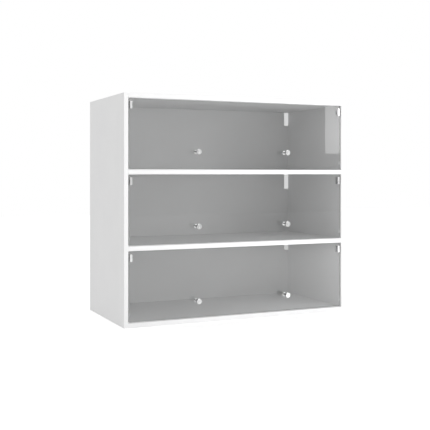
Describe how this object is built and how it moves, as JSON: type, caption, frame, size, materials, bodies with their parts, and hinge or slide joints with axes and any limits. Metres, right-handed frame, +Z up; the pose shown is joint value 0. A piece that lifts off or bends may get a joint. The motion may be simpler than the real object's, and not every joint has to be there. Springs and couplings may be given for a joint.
{
  "type": "barrister bookcase",
  "caption": "Wide white board bookcase of stacked equal compartments, each closed by a frameless grey glass door on top pivots with round spool knobs.",
  "frame": {"origin": "centre of the carcass's footprint, on its underside", "axes": "+X to the right as seen from the doors, +Y from the doors to the back panels, +Z up"},
  "size_m": [1, 0.5088, 0.904],
  "materials": {
    "white_board": "matt white melamine on particle board",
    "back_board": "matt white coated fibreboard",
    "edge_band": "satin white plastic edging",
    "white_plastic": "moulded white nylon",
    "clear_plastic": "translucent moulded plastic",
    "soft_liner": "soft grey liner",
    "grey_glass": "grey tinted toughened glass, polished edges",
    "satin_steel": "satin stainless steel",
    "zinc_steel": "bright zinc plated steel",
    "cast_zinc": "die cast zinc",
    "beech": "turned beech"
  },
  "bodies": {
    "cabinet": {"left_side_panel": "white_board", "right_side_panel": "white_board", "bottom_panel": "white_board", "shelf_lower": "white_board", "shelf_upper": "white_board", "top_panel": "white_board", "back_panel_bottom": "back_board", "back_panel_middle": "back_board", "back_panel_top": "back_board", "edge_band_left_side": "edge_band", "edge_band_right_side": "edge_band", "edge_band_bottom_panel": "edge_band", "edge_band_shelf_lower": "edge_band", "edge_band_shelf_upper": "edge_band", "edge_band_top_panel": "edge_band", "wooden_dowels": "beech", "cam_bolts": "zinc_steel", "cam_housings": "cast_zinc", "cam_cover_caps": "white_plastic", "back_panel_screws": "zinc_steel", "pivot_bushes": "white_plastic", "door_stops": "white_plastic"},
    "door_bottom": {"glass_bottom": "grey_glass", "hinge_plate_left_bottom": "satin_steel", "hinge_plate_right_bottom": "satin_steel", "hinge_block_left_bottom": "satin_steel", "hinge_block_right_bottom": "satin_steel", "hinge_gaskets_bottom": "soft_liner", "pivot_pins_bottom": "zinc_steel", "hinge_screws_bottom": "zinc_steel", "knob_left_bottom": "satin_steel", "knob_right_bottom": "satin_steel", "knob_screws_bottom": "zinc_steel", "knob_washers_bottom": "clear_plastic"},
    "door_middle": {"glass_middle": "grey_glass", "hinge_plate_left_middle": "satin_steel", "hinge_plate_right_middle": "satin_steel", "hinge_block_left_middle": "satin_steel", "hinge_block_right_middle": "satin_steel", "hinge_gaskets_middle": "soft_liner", "pivot_pins_middle": "zinc_steel", "hinge_screws_middle": "zinc_steel", "knob_left_middle": "satin_steel", "knob_right_middle": "satin_steel", "knob_screws_middle": "zinc_steel", "knob_washers_middle": "clear_plastic"},
    "door_top": {"glass_top": "grey_glass", "hinge_plate_left_top": "satin_steel", "hinge_plate_right_top": "satin_steel", "hinge_block_left_top": "satin_steel", "hinge_block_right_top": "satin_steel", "hinge_gaskets_top": "soft_liner", "pivot_pins_top": "zinc_steel", "hinge_screws_top": "zinc_steel", "knob_left_top": "satin_steel", "knob_right_top": "satin_steel", "knob_screws_top": "zinc_steel", "knob_washers_top": "clear_plastic"}
  },
  "joints": [
    {"name": "door_bottom_pivot", "type": "hinge", "parent": "cabinet", "child": "door_bottom", "pos_m": [0, -0.2218, 0.26783], "axis": [-1, 0, 0], "range_deg": [0, 90]},
    {"name": "door_middle_pivot", "type": "hinge", "parent": "cabinet", "child": "door_middle", "pos_m": [0, -0.2218, 0.56317], "axis": [-1, 0, 0], "range_deg": [0, 90]},
    {"name": "door_top_pivot", "type": "hinge", "parent": "cabinet", "child": "door_top", "pos_m": [0, -0.2218, 0.8585], "axis": [-1, 0, 0], "range_deg": [0, 90]}
  ]
}
